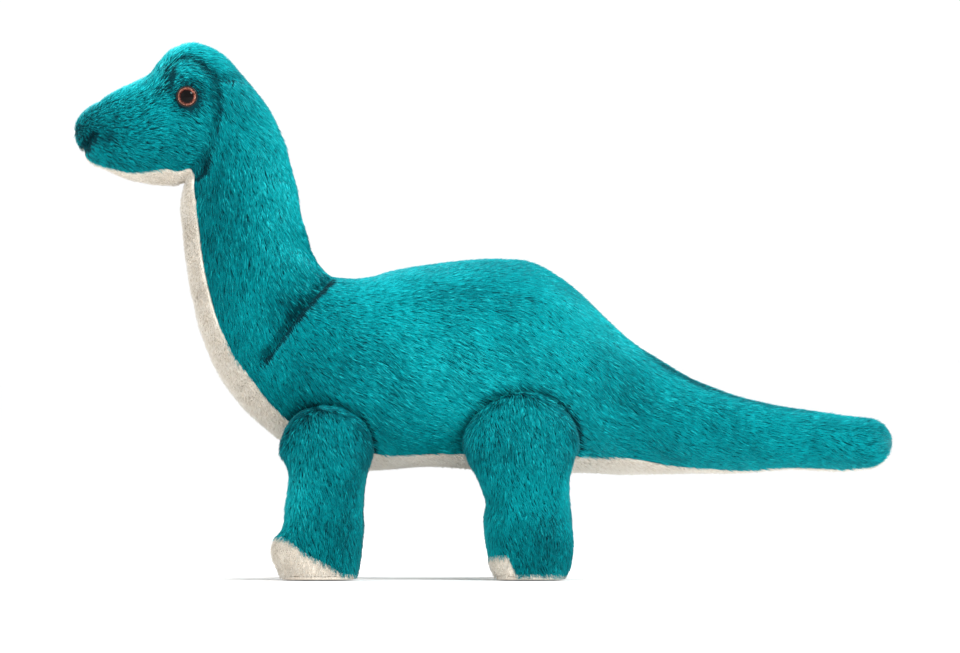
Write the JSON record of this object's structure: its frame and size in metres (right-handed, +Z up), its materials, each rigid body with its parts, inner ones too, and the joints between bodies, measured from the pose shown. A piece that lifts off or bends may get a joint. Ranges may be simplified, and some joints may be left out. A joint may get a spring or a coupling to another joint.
{
  "type": "stuffed dinosaur",
  "caption": "Plush long-necked dinosaur that stands on its legs, with sewn teal and cream panels over fibre filling, plastic eyes, and seams that flex and spring back.",
  "frame": {"origin": "on the floor, under the middle of the toy's bounding box", "axes": "+X from the snout to the tail tip, +Y to the toy's right side, +Z up"},
  "size_m": [0.5298, 0.15, 0.3465],
  "materials": {
    "teal_plush": "glossy short-pile plush, combed flat",
    "cream_plush": "matte short-pile plush",
    "fibre_filling": "loose polyester fibre",
    "eye_plastic": "clear gloss over an amber iris and a black pupil",
    "washer_plastic": "moulded"
  },
  "bodies": {
    "torso": {"torso_stuffing": "fibre_filling", "body_side_left": "teal_plush", "body_side_right": "teal_plush", "belly_panel": "cream_plush"},
    "neck": {"neck_stuffing": "fibre_filling", "neck_side_left": "teal_plush", "neck_side_right": "teal_plush", "throat_panel": "cream_plush"},
    "head": {"head_stuffing": "fibre_filling", "head_side_left": "teal_plush", "head_side_right": "teal_plush", "crown_panel": "teal_plush", "chin_panel": "cream_plush", "eye_left": "eye_plastic", "eye_right": "eye_plastic", "eye_washer_left": "washer_plastic", "eye_washer_right": "washer_plastic"},
    "tail": {"tail_stuffing": "fibre_filling", "tail_side_left": "teal_plush", "tail_side_right": "teal_plush", "under_tail_panel": "cream_plush"},
    "leg_front_left": {"leg_front_left_stuffing": "fibre_filling", "leg_front_left_outer_panel": "teal_plush", "leg_front_left_inner_panel": "teal_plush", "leg_front_left_toe_panel": "cream_plush", "leg_front_left_sole": "cream_plush"},
    "leg_front_right": {"leg_front_right_stuffing": "fibre_filling", "leg_front_right_outer_panel": "teal_plush", "leg_front_right_inner_panel": "teal_plush", "leg_front_right_toe_panel": "cream_plush", "leg_front_right_sole": "cream_plush"},
    "leg_rear_left": {"leg_rear_left_stuffing": "fibre_filling", "leg_rear_left_outer_panel": "teal_plush", "leg_rear_left_inner_panel": "teal_plush", "leg_rear_left_toe_panel": "cream_plush", "leg_rear_left_sole": "cream_plush"},
    "leg_rear_right": {"leg_rear_right_stuffing": "fibre_filling", "leg_rear_right_outer_panel": "teal_plush", "leg_rear_right_inner_panel": "teal_plush", "leg_rear_right_toe_panel": "cream_plush", "leg_rear_right_sole": "cream_plush"}
  },
  "joints": [
    {"name": "neck_nod", "type": "hinge", "parent": "torso", "child": "neck", "pos_m": [-0.16813, 0, 0.1851], "axis": [0, 1, 0], "range_deg": [-12, 12], "stiffness_Nm_per_rad": 2},
    {"name": "head_turn", "type": "hinge", "parent": "neck", "child": "head", "pos_m": [-0.19708, 0, 0.30286], "axis": [0, 0, 1], "range_deg": [-20, 20], "stiffness_Nm_per_rad": 1},
    {"name": "tail_wag", "type": "hinge", "parent": "torso", "child": "tail", "pos_m": [0.0499, 0, 0.11512], "axis": [0, 0, 1], "range_deg": [-18, 18], "stiffness_Nm_per_rad": 1},
    {"name": "hip_front_left", "type": "hinge", "parent": "torso", "child": "leg_front_left", "pos_m": [-0.101, -0.053, 0.082], "axis": [0, 1, 0], "range_deg": [-15, 15], "stiffness_Nm_per_rad": 2},
    {"name": "hip_front_right", "type": "hinge", "parent": "torso", "child": "leg_front_right", "pos_m": [-0.101, 0.053, 0.082], "axis": [0, 1, 0], "range_deg": [-15, 15], "stiffness_Nm_per_rad": 2},
    {"name": "hip_rear_left", "type": "hinge", "parent": "torso", "child": "leg_rear_left", "pos_m": [0.025, -0.053, 0.085], "axis": [0, 1, 0], "range_deg": [-15, 15], "stiffness_Nm_per_rad": 2},
    {"name": "hip_rear_right", "type": "hinge", "parent": "torso", "child": "leg_rear_right", "pos_m": [0.025, 0.053, 0.085], "axis": [0, 1, 0], "range_deg": [-15, 15], "stiffness_Nm_per_rad": 2}
  ]
}
